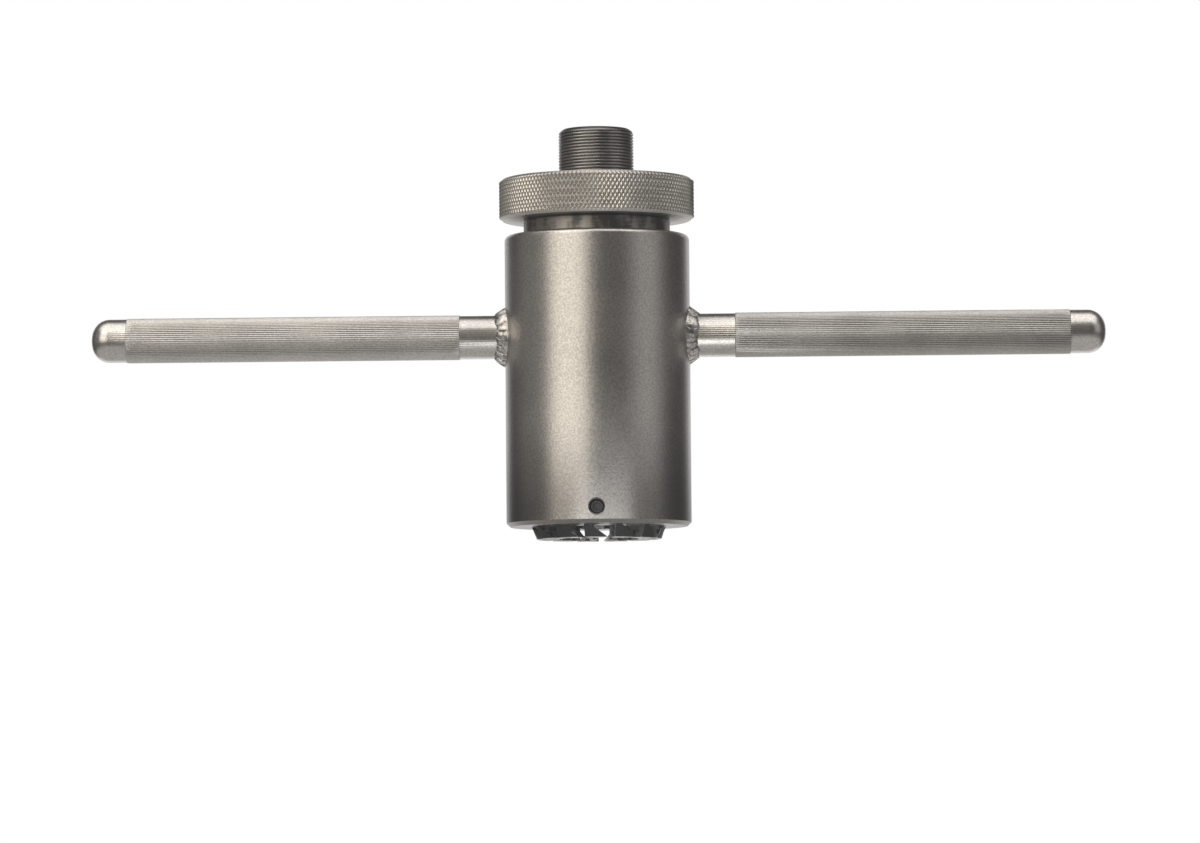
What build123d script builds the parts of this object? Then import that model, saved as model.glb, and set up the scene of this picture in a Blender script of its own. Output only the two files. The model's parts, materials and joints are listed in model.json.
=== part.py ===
from build123d import *

import os
from math import asin, cos, degrees, radians, sin

# Crown race facing tool: a handled body that carries a ring cutter and is pressed onto a fork crown by a nut.
# Millimetres. The origin is on the tool's axis in the plane of the cutter's teeth. +Z runs up the steering
# column, X runs along the handles and -Y is the front, where the cutter's first set screw is.

# Body
BODY_D = 62.5
BODY_H = 98.5
CUTTER_REACH = 4.2  # how far the teeth stand out below the body
BODY_TOP = CUTTER_REACH + BODY_H
UPPER_BORE_D = 54.0
TOP_EDGE_R = 1.8
BOTTOM_EDGE_C = 1.3

# Handles
HANDLE_D = 15.1
HANDLE_TIP = 171.5  # from the axis to the tip
HANDLE_Z = 68.65
TIP_R = 6.2
GRIP_START = 46.5
GRIP_END = 159.0
GRIP_GROOVE = 0.25
SOCKET_DEPTH = 3.0
WELD_LEG = 3.3  # how far the weld climbs up the body
WELD_RUN = 5.2  # how far it runs out along the bar
WELD_SAG = 0.36  # share of leg and run that the hollow middle of the weld keeps

# Cutter
CUTTER_D = 45.4
SEAT_D = 27.0  # the crown race seat that the teeth mill
CUTTER_TOP = 22.0
CUTTER_TOP_C = 0.6
TEETH = 13
TOOTH_LEAD = -11.6  # degrees from the front, positive towards +X: the first tooth's leading face
TOOTH_TIP = 8.9  # its trailing side at the tip
TOOTH_ROOT = -6.3  # and at the root, so that the gullets are undercut
GULLET_H = 4.1
GULLET_IN_R = SEAT_D / 2 - 3.0  # the gullet's cut runs from inside the bore
GULLET_OUT_R = CUTTER_D / 2 + 6.0  # to outside the cutter
TOOTH_CHAMFER = 1.7
TOOTH_CHAMFER_H = 4.1

# Set screws and drive pins
SCREW_HOLE_D = 5.0
SCREW_SINK = 0.45  # countersink at the mouth of each screw hole
SCREW_D = 4.8
SCREW_Z = 9.7
SCREW_COUNT = 3
SCREW_L = 5.5
SCREW_HEX = 2.5
SCREW_SEAT = 0.8  # depth of the cutter's seat for the screw's tip
SCREW_SEAT_D = 5.4
PIN_D = 4.0
PIN_RADIUS = 20.0
PIN_L = 9.0
PIN_END_GAP = 0.5

# Steering column, pilot bushing and web
COLUMN_BORE_D = 25.5
BUSHING_D = 34.0
BUSHING_C = 0.5
WEB_TOP = 46.0

# Thrust bearing
RACE_D = 53.6
RACE_BORE = 30.0
RACE_T = 3.0
BALL_D = 5.0
BALL_COUNT = 18
BALL_CIRCLE_R = 20.5
GROOVE_R = 2.6
GROOVE_DEPTH = 1.0
CAGE_D = 50.0
CAGE_BORE = 33.0
CAGE_T = 2.4
POCKET_CLEAR = 0.08

# Spring and its seat
SPRING_SEAT_D = 52.4
SPRING_SEAT_BORE = 26.4
SPRING_SEAT_T = 2.5
SPRING_SEAT_LIP_D = 31.0
SPRING_SEAT_LIP_H = 3.3
WIRE_D = 4.4
WIRE_LIFT = 0.66  # height of the wire's centre over the spring's ground ends
COIL_R = 18.2
COILS = 5.5
SPRING_TOP = 92.0

# Pressure sleeve, its seal and the ring that keeps it in the body
SLEEVE_LOW = 82.0
SLEEVE_TOP = 107.9
FLANGE_D = 53.8
FLANGE_TOP = 93.4
NECK_D = 49.5
NECK_C = 0.5
SLIDE_BORE = 25.6
POCKET_D = 41.6
SEAL_Z = 88.0
SEAL_R = 26.1
SEAL_CORD_R = 0.88
SEAL_GROOVE_W = 2.3
CLIP_Z = 96.5
CLIP_T = 1.5
CLIP_BORE = 50.4
CLIP_D = 57.0
CLIP_GROOVE_D = 57.2
CLIP_GAP = 32.0  # degrees left open at the back
LUG_HOLE_D = 1.8
LUG_INSET = 1.9  # from the gap to the middle of each plier hole

# Threaded spindle
THREAD_D = 25.4
PITCH = 25.4 / 24
THREAD_DEPTH = 0.6 * PITCH
CREST = PITCH / 8
SPINDLE_TOP = 138.9
THREAD_LOW = 90.0
THREAD_RUN_IN = 1.0  # plain length below the first turn
NOSE_D = 21.8
NOSE_LOW = 70.0
SPINDLE_CHAMFER = 1.6
KEYWAY_W = 3.2
KEYWAY_R = 11.3  # floor of the keyway, from the axis
BOLT_BORE = 6.6
HEAD_BORE = 12.0
HEAD_BORE_DEPTH = 10.0

# Knurled knob and the keyed washer under it
KNOB_LOW = 108.0
KNOB_H = 13.85
KNOB_D = 66.0
KNOB_CHAMFER = 0.9
KNOB_BORE = 25.5
WASHER_T = 1.2
WASHER_D = 38.0
KEY_W = 3.0
KEY_DEPTH = 2.0  # how far the key sits in the sleeve
KEY_IN_R = KEYWAY_R + 0.2
KEY_END_GAP = 1.0
KEY_C = 0.3
TAB_OVERLAP = 1.0

# Draw bolt and expander
BOLT_D = 6.0
BOLT_L = 80.0
BOLT_HEAD_D = 10.0
BOLT_HEAD_H = 6.0
BOLT_HEX = 5.0
BOLT_HEAD_C = 0.5
BOLT_END_C = 0.6
BOLT_WASHER_T = 1.2
BOLT_WASHER_D = 11.6
BOLT_WASHER_BORE = 6.4
WEDGE_LOW = 46.5
WEDGE_TOP = 66.5
WEDGE_TOP_IN = 4.2  # distance from the axis to a flat, at the wedge's top
WEDGE_SLOPE = 0.8 / 3.0  # jaw travel for each millimetre that the wedge rises
WEDGE_R = 9.8
JAW_COUNT = 3
JAW_R = 10.9
JAW_LOW = 48.5
JAW_TOP = 69.9
JAW_GAP = 1.5  # degrees left open at each side of a jaw
JAW_RING_Z = 58.0
JAW_RING_R = 10.4
JAW_RING_CORD_R = 0.5
JAW_GROOVE_W = 1.2

EDGE_C = 0.4  # chamfer on pins, screws and races
CLEAR = 0.05  # running clearance between faces that slide
NEAR = 0.01  # tolerance for picking edges by their radius

os.makedirs("parts", exist_ok=True)


def save(piece, name):
    """Labels a finished piece and writes its STEP file."""
    piece.label = name
    export_step(piece, f"parts/{name}.step")


def turned(outline):
    """A solid of revolution about Z from (radius, height) points."""
    with BuildPart() as solid:
        with BuildSketch(Plane.XZ):
            with BuildLine():
                Polyline(*outline, close=True)
            make_face()
        revolve(axis=Axis.Z)
    return solid.part


def ring_outline(outer_d, inner_d, low, high):
    """The (radius, height) corners of a plain ring."""
    inner, outer = inner_d / 2, outer_d / 2
    return [(inner, low), (outer, low), (outer, high), (inner, high)]


def front(angle, radius, height=0.0):
    """A point at an angle from the front (-Y), turning towards +X."""
    return (radius * sin(radians(angle)), -radius * cos(radians(angle)), height)


def radial_plane(angle, height):
    """A plane at the axis whose normal points outwards at that angle from the front."""
    return Plane(origin=(0, 0, height), x_dir=(0, 0, 1), z_dir=front(angle, 1))


# ---------------------------------------------------------------- body and handles

SCREW_ANGLES = [360 / SCREW_COUNT * i for i in range(SCREW_COUNT)]

with BuildPart() as main_body:
    with BuildSketch(Plane.XZ):
        with BuildLine():
            Polyline(
                (CUTTER_D / 2 + CLEAR, CUTTER_REACH),
                (BODY_D / 2, CUTTER_REACH),
                (BODY_D / 2, BODY_TOP),
                (UPPER_BORE_D / 2, BODY_TOP),
                (UPPER_BORE_D / 2, CLIP_Z + CLIP_T + CLEAR),
                (CLIP_GROOVE_D / 2, CLIP_Z + CLIP_T + CLEAR),
                (CLIP_GROOVE_D / 2, CLIP_Z - CLEAR),
                (UPPER_BORE_D / 2, CLIP_Z - CLEAR),
                (UPPER_BORE_D / 2, WEB_TOP),
                (BUSHING_D / 2, WEB_TOP),
                (BUSHING_D / 2, CUTTER_TOP),
                (CUTTER_D / 2 + CLEAR, CUTTER_TOP),
                close=True,
            )
        make_face()
    revolve(axis=Axis.Z)
    outer_edges = main_body.edges().filter_by(GeomType.CIRCLE).filter_by(lambda e: e.radius > BODY_D / 2 - NEAR)
    fillet(outer_edges.sort_by(Axis.Z)[-1], TOP_EDGE_R)
    chamfer(outer_edges.sort_by(Axis.Z)[0], BOTTOM_EDGE_C)
    for side in (-1, 1):
        with BuildSketch(Plane.YZ.offset(side * (BODY_D / 2 - SOCKET_DEPTH))):
            with Locations((0, HANDLE_Z)):
                Circle(HANDLE_D / 2 + CLEAR)
        extrude(amount=side * SOCKET_DEPTH * 2, mode=Mode.SUBTRACT)
    for angle in SCREW_ANGLES:
        with BuildSketch(radial_plane(angle, SCREW_Z)):
            Circle(SCREW_HOLE_D / 2)
        extrude(amount=BODY_D, mode=Mode.SUBTRACT)
        with BuildSketch(radial_plane(angle, SCREW_Z).offset(BODY_D / 2 - SCREW_SINK)):
            Circle(SCREW_HOLE_D / 2)
        extrude(amount=2 * SCREW_SINK, taper=-45, mode=Mode.SUBTRACT)
    with BuildSketch(Plane.XY.offset(CUTTER_TOP)):
        with PolarLocations(PIN_RADIUS, 2):
            Circle(PIN_D / 2)
    extrude(amount=PIN_L / 2, mode=Mode.SUBTRACT)
save(main_body.part, "main_body")


def handle(side):
    """A welded bar handle: plain at the body, a long knurled grip and a domed end."""
    with BuildPart() as bar:
        with BuildSketch(Plane.YZ.offset(side * (BODY_D / 2 - SOCKET_DEPTH + CLEAR))):
            with Locations((0, HANDLE_Z)):
                Circle(HANDLE_D / 2)
        extrude(amount=side * (HANDLE_TIP - BODY_D / 2 + SOCKET_DEPTH - CLEAR))
        tip_edge = bar.edges().filter_by(GeomType.CIRCLE).sort_by(Axis.X)[-1 if side > 0 else 0]
        fillet(tip_edge, TIP_R)
        for end in (GRIP_START, GRIP_END):
            with BuildSketch(Plane.YZ.offset(side * end)):
                with Locations((0, HANDLE_Z)):
                    Circle(HANDLE_D)
                    Circle(HANDLE_D / 2 - GRIP_GROOVE, mode=Mode.SUBTRACT)
            extrude(amount=GRIP_GROOVE, both=True, mode=Mode.SUBTRACT)
    return bar.part


save(handle(-1), "handle_left")
save(handle(1), "handle_right")


def weld(side):
    """The fillet weld that runs round one handle where it meets the body."""
    inside = BODY_D / 2 - SOCKET_DEPTH
    start = BODY_D / 2
    with BuildPart() as bead:
        with BuildSketch(Plane.XZ):
            with BuildLine():
                corner = (side * inside, HANDLE_Z + HANDLE_D / 2)
                low = (side * inside, HANDLE_Z + HANDLE_D / 2 + WELD_LEG)
                foot = (side * start, HANDLE_Z + HANDLE_D / 2 + WELD_LEG)
                toe = (side * (start + WELD_RUN), HANDLE_Z + HANDLE_D / 2)
                middle = (side * (start + WELD_RUN * WELD_SAG), HANDLE_Z + HANDLE_D / 2 + WELD_LEG * WELD_SAG)
                Polyline(toe, corner, low, foot)
                ThreePointArc(foot, middle, toe)
            make_face()
        revolve(axis=Axis((0, 0, HANDLE_Z), (1, 0, 0)))
        Cylinder(BODY_D / 2 + NEAR, 3 * BODY_D, mode=Mode.SUBTRACT)
    return bead.part


save(Compound(children=[weld(-1), weld(1)]), "handle_welds")

# ---------------------------------------------------------------- cutter

PITCH_ANGLE = 360 / TEETH
NEXT_LEAD = TOOTH_LEAD + PITCH_ANGLE


def gullet_face(height, trailing):
    """The gullet's outline at one height, from a tooth's trailing side to the next tooth's leading face."""
    near, far = GULLET_IN_R, GULLET_OUT_R
    corners = [front(trailing, near), front(trailing, far), front(NEXT_LEAD, far), front(NEXT_LEAD, near)]
    with BuildSketch(Plane.XY.offset(height)) as face:
        with BuildLine():
            Polyline(*[(x, y) for x, y, _ in corners], close=True)
        make_face()
    return face.sketch


with BuildPart() as gullet:
    loft([gullet_face(0, TOOTH_TIP), gullet_face(GULLET_H, TOOTH_ROOT)])

with BuildPart() as cutter:
    with BuildSketch(Plane.XZ):
        with BuildLine():
            Polyline(
                (SEAT_D / 2, 0),
                (CUTTER_D / 2 - TOOTH_CHAMFER, 0),
                (CUTTER_D / 2, TOOTH_CHAMFER_H),
                (CUTTER_D / 2, CUTTER_TOP - CUTTER_TOP_C),
                (CUTTER_D / 2 - CUTTER_TOP_C, CUTTER_TOP),
                (SEAT_D / 2, CUTTER_TOP),
                close=True,
            )
        make_face()
    revolve(axis=Axis.Z)
    with PolarLocations(0, TEETH):
        add(gullet.part, mode=Mode.SUBTRACT)
    for angle in SCREW_ANGLES:
        with BuildSketch(radial_plane(angle, SCREW_Z).offset(CUTTER_D / 2 - SCREW_SEAT)):
            Circle(SCREW_SEAT_D / 2)
        extrude(amount=SCREW_SEAT * 2, mode=Mode.SUBTRACT)
    with BuildSketch(Plane.XY.offset(CUTTER_TOP)):
        with PolarLocations(PIN_RADIUS, 2):
            Circle(PIN_D / 2 + CLEAR)
    extrude(amount=-PIN_L / 2 - PIN_END_GAP, mode=Mode.SUBTRACT)
save(cutter.part, "cutter")


def set_screw(angle):
    """A headless hex socket screw that bears on the cutter."""
    inner = CUTTER_D / 2 - SCREW_SEAT + CLEAR
    with BuildPart() as screw:
        with BuildSketch(radial_plane(angle, SCREW_Z).offset(inner)):
            Circle(SCREW_D / 2)
        extrude(amount=SCREW_L)
        chamfer(screw.edges().filter_by(GeomType.CIRCLE), EDGE_C)
        with BuildSketch(radial_plane(angle, SCREW_Z).offset(inner + SCREW_L)):
            RegularPolygon(SCREW_HEX / 2, 6, major_radius=False)
        extrude(amount=-SCREW_L / 2, mode=Mode.SUBTRACT)
    return screw.part


save(Compound(children=[set_screw(angle) for angle in SCREW_ANGLES]), "cutter_set_screws")

with BuildPart() as drive_pins:
    with BuildSketch(Plane.XY.offset(CUTTER_TOP - PIN_L / 2)):
        with PolarLocations(PIN_RADIUS, 2):
            Circle(PIN_D / 2)
    extrude(amount=PIN_L)
    chamfer(drive_pins.edges().filter_by(GeomType.CIRCLE), EDGE_C)
save(drive_pins.part, "cutter_drive_pins")

# ---------------------------------------------------------------- pilot bushing and thrust bearing

with BuildPart() as pilot_bushing:
    add(turned(ring_outline(BUSHING_D, COLUMN_BORE_D, CUTTER_TOP, WEB_TOP)))
    round_edges = pilot_bushing.edges().filter_by(GeomType.CIRCLE)
    chamfer(round_edges.filter_by(lambda e: e.radius < BUSHING_D / 2 - NEAR), BUSHING_C)
save(pilot_bushing.part, "pilot_bushing")

RACE_TOP = WEB_TOP + RACE_T
BALL_Z = RACE_TOP - GROOVE_DEPTH + GROOVE_R
UPPER_RACE_LOW = BALL_Z + GROOVE_R - GROOVE_DEPTH
UPPER_RACE_TOP = UPPER_RACE_LOW + RACE_T


def race(low):
    """A washer with a ball groove in the face that looks at the balls."""
    with BuildPart() as washer:
        add(turned(ring_outline(RACE_D, RACE_BORE, low, low + RACE_T)))
        round_edges = washer.edges().filter_by(GeomType.CIRCLE)
        chamfer(round_edges.filter_by(lambda e: e.radius > RACE_D / 2 - NEAR), EDGE_C)
        with BuildSketch(Plane.XZ):
            with Locations((BALL_CIRCLE_R, BALL_Z)):
                Circle(GROOVE_R)
        revolve(axis=Axis.Z, mode=Mode.SUBTRACT)
    return washer.part


save(race(WEB_TOP), "lower_thrust_race")
save(race(UPPER_RACE_LOW), "upper_thrust_race")

with BuildPart() as thrust_balls:
    with Locations((0, 0, BALL_Z)):
        with PolarLocations(BALL_CIRCLE_R, BALL_COUNT):
            Sphere(BALL_D / 2)
save(thrust_balls.part, "thrust_balls")

with BuildPart() as ball_cage:
    add(turned(ring_outline(CAGE_D, CAGE_BORE, BALL_Z - CAGE_T / 2, BALL_Z + CAGE_T / 2)))
    with Locations((0, 0, BALL_Z)):
        with PolarLocations(BALL_CIRCLE_R, BALL_COUNT):
            Cylinder(BALL_D / 2 + POCKET_CLEAR, CAGE_T * 2, mode=Mode.SUBTRACT)
save(ball_cage.part, "ball_cage")

# ---------------------------------------------------------------- spring, seat, sleeve, seal and retaining ring

SPRING_LOW = UPPER_RACE_TOP + SPRING_SEAT_T
LIP_TOP = SPRING_LOW + SPRING_SEAT_LIP_H

with BuildPart() as spring_seat:
    with BuildSketch(Plane.XZ):
        with BuildLine():
            Polyline(
                (SPRING_SEAT_BORE / 2, UPPER_RACE_TOP),
                (SPRING_SEAT_D / 2, UPPER_RACE_TOP),
                (SPRING_SEAT_D / 2, SPRING_LOW),
                (SPRING_SEAT_LIP_D / 2, SPRING_LOW),
                (SPRING_SEAT_LIP_D / 2, LIP_TOP),
                (SPRING_SEAT_BORE / 2, LIP_TOP),
                close=True,
            )
        make_face()
    revolve(axis=Axis.Z)
save(spring_seat.part, "spring_seat")

SPRING_H = SPRING_TOP - SPRING_LOW
COIL_RISE = SPRING_H - 2 * WIRE_LIFT

with BuildPart() as pressure_spring:
    with BuildLine() as coil:
        Helix(pitch=COIL_RISE / COILS, height=COIL_RISE, radius=COIL_R, center=(0, 0, SPRING_LOW + WIRE_LIFT))
    with BuildSketch(Plane(origin=coil.line @ 0, z_dir=coil.line % 0)):
        Circle(WIRE_D / 2)
    sweep(is_frenet=True)
    with BuildSketch(Plane.XY.offset(SPRING_LOW)):
        Circle(COIL_R * 2)
    extrude(amount=SPRING_H, mode=Mode.INTERSECT)
save(pressure_spring.part, "pressure_spring")

with BuildPart() as pressure_sleeve:
    with BuildSketch(Plane.XZ):
        with BuildLine():
            Polyline(
                (POCKET_D / 2, SLEEVE_LOW),
                (FLANGE_D / 2, SLEEVE_LOW),
                (FLANGE_D / 2, SEAL_Z - SEAL_GROOVE_W / 2),
                (SEAL_R - SEAL_CORD_R - CLEAR, SEAL_Z - SEAL_GROOVE_W / 2),
                (SEAL_R - SEAL_CORD_R - CLEAR, SEAL_Z + SEAL_GROOVE_W / 2),
                (FLANGE_D / 2, SEAL_Z + SEAL_GROOVE_W / 2),
                (FLANGE_D / 2, FLANGE_TOP),
                (NECK_D / 2, FLANGE_TOP),
                (NECK_D / 2, SLEEVE_TOP - NECK_C),
                (NECK_D / 2 - NECK_C, SLEEVE_TOP),
                (WASHER_D / 2 + 2 * CLEAR, SLEEVE_TOP),
                (WASHER_D / 2 + 2 * CLEAR, KNOB_LOW - WASHER_T),
                (SLIDE_BORE / 2, KNOB_LOW - WASHER_T),
                (SLIDE_BORE / 2, SPRING_TOP),
                (POCKET_D / 2, SPRING_TOP),
                close=True,
            )
        make_face()
    revolve(axis=Axis.Z)
    with BuildSketch(Plane.XY.offset(SPRING_TOP)):
        with Locations((0, SLIDE_BORE / 2)):
            Rectangle(KEY_W + 2 * CLEAR, 2 * KEY_DEPTH)
    extrude(amount=KNOB_LOW - WASHER_T - SPRING_TOP, mode=Mode.SUBTRACT)
save(pressure_sleeve.part, "pressure_sleeve")

KEY_OUT_R = SLIDE_BORE / 2 + KEY_DEPTH - CLEAR

with BuildPart() as guide_key:
    with BuildSketch(Plane.XY.offset(SPRING_TOP + KEY_END_GAP)):
        with Locations((0, (KEY_IN_R + KEY_OUT_R) / 2)):
            Rectangle(KEY_W, KEY_OUT_R - KEY_IN_R)
    extrude(amount=KNOB_LOW - WASHER_T - SPRING_TOP - 2 * KEY_END_GAP)
    chamfer(guide_key.edges().filter_by(Axis.Z), KEY_C)
save(guide_key.part, "guide_key")

with BuildPart() as sleeve_seal:
    with BuildSketch(Plane.XZ):
        with Locations((SEAL_R, SEAL_Z)):
            Circle(SEAL_CORD_R)
    revolve(axis=Axis.Z)
save(sleeve_seal.part, "sleeve_seal")

CLIP_R = (CLIP_D + CLIP_BORE) / 4
LUG_ANGLE = CLIP_GAP / 2 + degrees(asin(LUG_INSET / CLIP_R))
GAP_X = CLIP_D * sin(radians(CLIP_GAP / 2))
GAP_Y = CLIP_D * cos(radians(CLIP_GAP / 2))

with BuildPart() as retaining_ring:
    with BuildSketch(Plane.XY.offset(CLIP_Z)):
        Circle(CLIP_D / 2)
        Circle(CLIP_BORE / 2, mode=Mode.SUBTRACT)
        with BuildLine():
            Polyline((0, 0), (GAP_X, GAP_Y), (-GAP_X, GAP_Y), close=True)
        make_face(mode=Mode.SUBTRACT)
        for side in (-1, 1):
            with Locations(Vector(0, CLIP_R, 0).rotate(Axis.Z, side * LUG_ANGLE)):
                Circle(LUG_HOLE_D / 2, mode=Mode.SUBTRACT)
    extrude(amount=CLIP_T)
save(retaining_ring.part, "retaining_ring")

# ---------------------------------------------------------------- knob, washer and threaded spindle

with BuildPart() as knurled_knob:
    add(turned(ring_outline(KNOB_D, KNOB_BORE, KNOB_LOW, KNOB_LOW + KNOB_H)))
    chamfer(knurled_knob.edges().filter_by(GeomType.CIRCLE), KNOB_CHAMFER)
save(knurled_knob.part, "knurled_knob")

TAB_OUT_R = SLIDE_BORE / 2 + TAB_OVERLAP

with BuildPart() as keyed_washer:
    with BuildSketch(Plane.XY.offset(KNOB_LOW - WASHER_T)):
        Circle(WASHER_D / 2)
        Circle(SLIDE_BORE / 2, mode=Mode.SUBTRACT)
        with Locations((0, (KEY_IN_R + TAB_OUT_R) / 2)):
            Rectangle(KEY_W, TAB_OUT_R - KEY_IN_R)
    extrude(amount=WASHER_T)
save(keyed_washer.part, "keyed_washer")


def thread_outline():
    """Crests and roots of the spindle's thread as (radius, height) points, from the nose upwards."""
    first = THREAD_LOW + THREAD_RUN_IN
    turns = int((SPINDLE_TOP - SPINDLE_CHAMFER - first) / PITCH)
    crest, root = THREAD_D / 2, THREAD_D / 2 - THREAD_DEPTH
    points = []
    for turn in range(turns):
        base = first + turn * PITCH
        points += [(crest, base), (crest, base + CREST), (root, base + CREST / 2 + PITCH / 2)]
    return points


with BuildPart() as threaded_spindle:
    with BuildSketch(Plane.XZ):
        with BuildLine():
            Polyline(
                (0, NOSE_LOW),
                (NOSE_D / 2, NOSE_LOW),
                (NOSE_D / 2, THREAD_LOW),
                (THREAD_D / 2, THREAD_LOW),
                *thread_outline(),
                (THREAD_D / 2, SPINDLE_TOP - SPINDLE_CHAMFER - CREST),
                (THREAD_D / 2, SPINDLE_TOP - SPINDLE_CHAMFER),
                (THREAD_D / 2 - SPINDLE_CHAMFER, SPINDLE_TOP),
                (0, SPINDLE_TOP),
                close=True,
            )
        make_face()
    revolve(axis=Axis.Z)
    with BuildSketch(Plane.XY.offset(NOSE_LOW)):
        Circle(BOLT_BORE / 2)
    extrude(amount=SPINDLE_TOP - NOSE_LOW, mode=Mode.SUBTRACT)
    with BuildSketch(Plane.XY.offset(SPINDLE_TOP)):
        Circle(HEAD_BORE / 2)
    extrude(amount=-HEAD_BORE_DEPTH, mode=Mode.SUBTRACT)
    with BuildSketch(Plane.XY.offset(THREAD_LOW)):
        with Locations((0, KEYWAY_R + KEY_DEPTH)):
            Rectangle(KEYWAY_W, 2 * KEY_DEPTH)
    extrude(amount=SPINDLE_TOP - THREAD_LOW, mode=Mode.SUBTRACT)
save(threaded_spindle.part, "threaded_spindle")

# ---------------------------------------------------------------- draw bolt and expander

HEAD_FLOOR = SPINDLE_TOP - HEAD_BORE_DEPTH
HEAD_LOW = HEAD_FLOOR + BOLT_WASHER_T

with BuildPart() as draw_bolt:
    with BuildSketch(Plane.XY.offset(HEAD_LOW)):
        Circle(BOLT_HEAD_D / 2)
    extrude(amount=BOLT_HEAD_H)
    chamfer(draw_bolt.edges().group_by(Axis.Z)[-1], BOLT_HEAD_C)
    with BuildSketch(Plane.XY.offset(HEAD_LOW)):
        Circle(BOLT_D / 2)
    extrude(amount=-BOLT_L)
    chamfer(draw_bolt.edges().group_by(Axis.Z)[0], BOLT_END_C)
    with BuildSketch(Plane.XY.offset(HEAD_LOW + BOLT_HEAD_H)):
        RegularPolygon(BOLT_HEX / 2, 6, major_radius=False)
    extrude(amount=-BOLT_HEAD_H / 2, mode=Mode.SUBTRACT)
save(draw_bolt.part, "draw_bolt")

save(turned(ring_outline(BOLT_WASHER_D, BOLT_WASHER_BORE, HEAD_FLOOR, HEAD_LOW)), "bolt_washer")


def flat_distance(height):
    """Distance from the axis to a flat of the wedge at that height."""
    return WEDGE_TOP_IN + (WEDGE_TOP - height) * WEDGE_SLOPE


with BuildPart() as expander_wedge:
    for height in (WEDGE_LOW, WEDGE_TOP):
        with BuildSketch(Plane.XY.offset(height)):
            RegularPolygon(flat_distance(height), JAW_COUNT, major_radius=False, rotation=60)
    loft()
    with BuildSketch(Plane.XY.offset(WEDGE_LOW)):
        Circle(WEDGE_R)
        Circle(BOLT_D / 2 + CLEAR, mode=Mode.SUBTRACT)
    extrude(amount=WEDGE_TOP - WEDGE_LOW, mode=Mode.INTERSECT)
save(expander_wedge.part, "expander_wedge")


def jaw(angle):
    """One expander jaw: a third of a tube with a sloping flat inside that rides on the wedge."""
    half = radians(180 / JAW_COUNT - JAW_GAP)
    far_x, far_y = 3 * JAW_R * cos(half), 3 * JAW_R * sin(half)
    with BuildPart() as segment:
        with BuildSketch(Plane.XZ):
            with BuildLine():
                Polyline(
                    (flat_distance(JAW_LOW) + CLEAR, JAW_LOW),
                    (2 * JAW_R, JAW_LOW),
                    (2 * JAW_R, JAW_TOP),
                    (flat_distance(JAW_TOP) + CLEAR, JAW_TOP),
                    close=True,
                )
            make_face()
        extrude(amount=JAW_R, both=True)
        with BuildSketch(Plane.XY.offset(JAW_LOW)):
            Circle(JAW_R)
            with BuildLine():
                Polyline((0, 0), (far_x, far_y), (far_x, -far_y), close=True)
            make_face(mode=Mode.INTERSECT)
        extrude(amount=JAW_TOP - JAW_LOW, mode=Mode.INTERSECT)
        with BuildSketch(Plane.XZ):
            with Locations((JAW_R, JAW_RING_Z)):
                Rectangle(2 * (JAW_R - JAW_RING_R + JAW_RING_CORD_R + CLEAR), JAW_GROOVE_W)
        revolve(axis=Axis.Z, mode=Mode.SUBTRACT)
    return segment.part.rotate(Axis.Z, angle)


for number in range(JAW_COUNT):
    save(jaw(360 / JAW_COUNT * number), f"expander_jaw_{number + 1}")

with BuildPart() as jaw_ring:
    with BuildSketch(Plane.XZ):
        with Locations((JAW_RING_R, JAW_RING_Z)):
            Circle(JAW_RING_CORD_R)
    revolve(axis=Axis.Z)
save(jaw_ring.part, "jaw_ring")
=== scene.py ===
"""Looks for the crown race facing tool: knurled, threaded and welded pieces, metal finishes, studio and camera.

Lengths are in millimetres in the shape functions, and MM turns them into metres. Places and overall sizes come
from the frame; the fine detail that the frame has no number for is named below.
"""

import json
import math

import bmesh
import bpy
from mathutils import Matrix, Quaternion, Vector, noise

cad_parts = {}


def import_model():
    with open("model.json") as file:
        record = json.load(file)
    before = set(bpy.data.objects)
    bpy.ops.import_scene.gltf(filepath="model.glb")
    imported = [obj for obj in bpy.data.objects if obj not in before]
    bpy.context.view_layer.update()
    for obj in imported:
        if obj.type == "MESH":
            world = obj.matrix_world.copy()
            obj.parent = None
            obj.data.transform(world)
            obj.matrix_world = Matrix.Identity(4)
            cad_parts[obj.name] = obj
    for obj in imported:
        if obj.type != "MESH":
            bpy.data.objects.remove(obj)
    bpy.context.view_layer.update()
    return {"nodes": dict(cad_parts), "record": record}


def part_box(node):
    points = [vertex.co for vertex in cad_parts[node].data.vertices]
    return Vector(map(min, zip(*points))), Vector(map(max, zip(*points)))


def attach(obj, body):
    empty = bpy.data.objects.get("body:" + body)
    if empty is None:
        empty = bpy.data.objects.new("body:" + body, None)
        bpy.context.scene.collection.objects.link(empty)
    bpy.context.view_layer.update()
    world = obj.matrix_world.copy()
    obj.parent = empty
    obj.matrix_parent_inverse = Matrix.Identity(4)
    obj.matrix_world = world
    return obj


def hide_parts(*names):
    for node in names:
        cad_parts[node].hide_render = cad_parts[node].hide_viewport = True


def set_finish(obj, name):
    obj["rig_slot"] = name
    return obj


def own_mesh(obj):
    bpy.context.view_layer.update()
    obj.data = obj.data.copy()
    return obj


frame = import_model()
MM = 0.001
TURN = 2 * math.pi

# Handles
GRIP_START = 46.5  # from the axis to the knurl's inner end
TIP_LENGTH = 12.0  # plain length at the tip
RIDGES = 66
RIDGE_DEPTH = 0.16
GRIP_STEP = 0.2  # how far the knurl stands over the plain bar

# Knob
DIAMONDS = 142  # round the rim
DIAMOND_DEPTH = 0.42
KNOB_EDGE = 0.95
KNOB_BORE_R = 12.75

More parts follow.
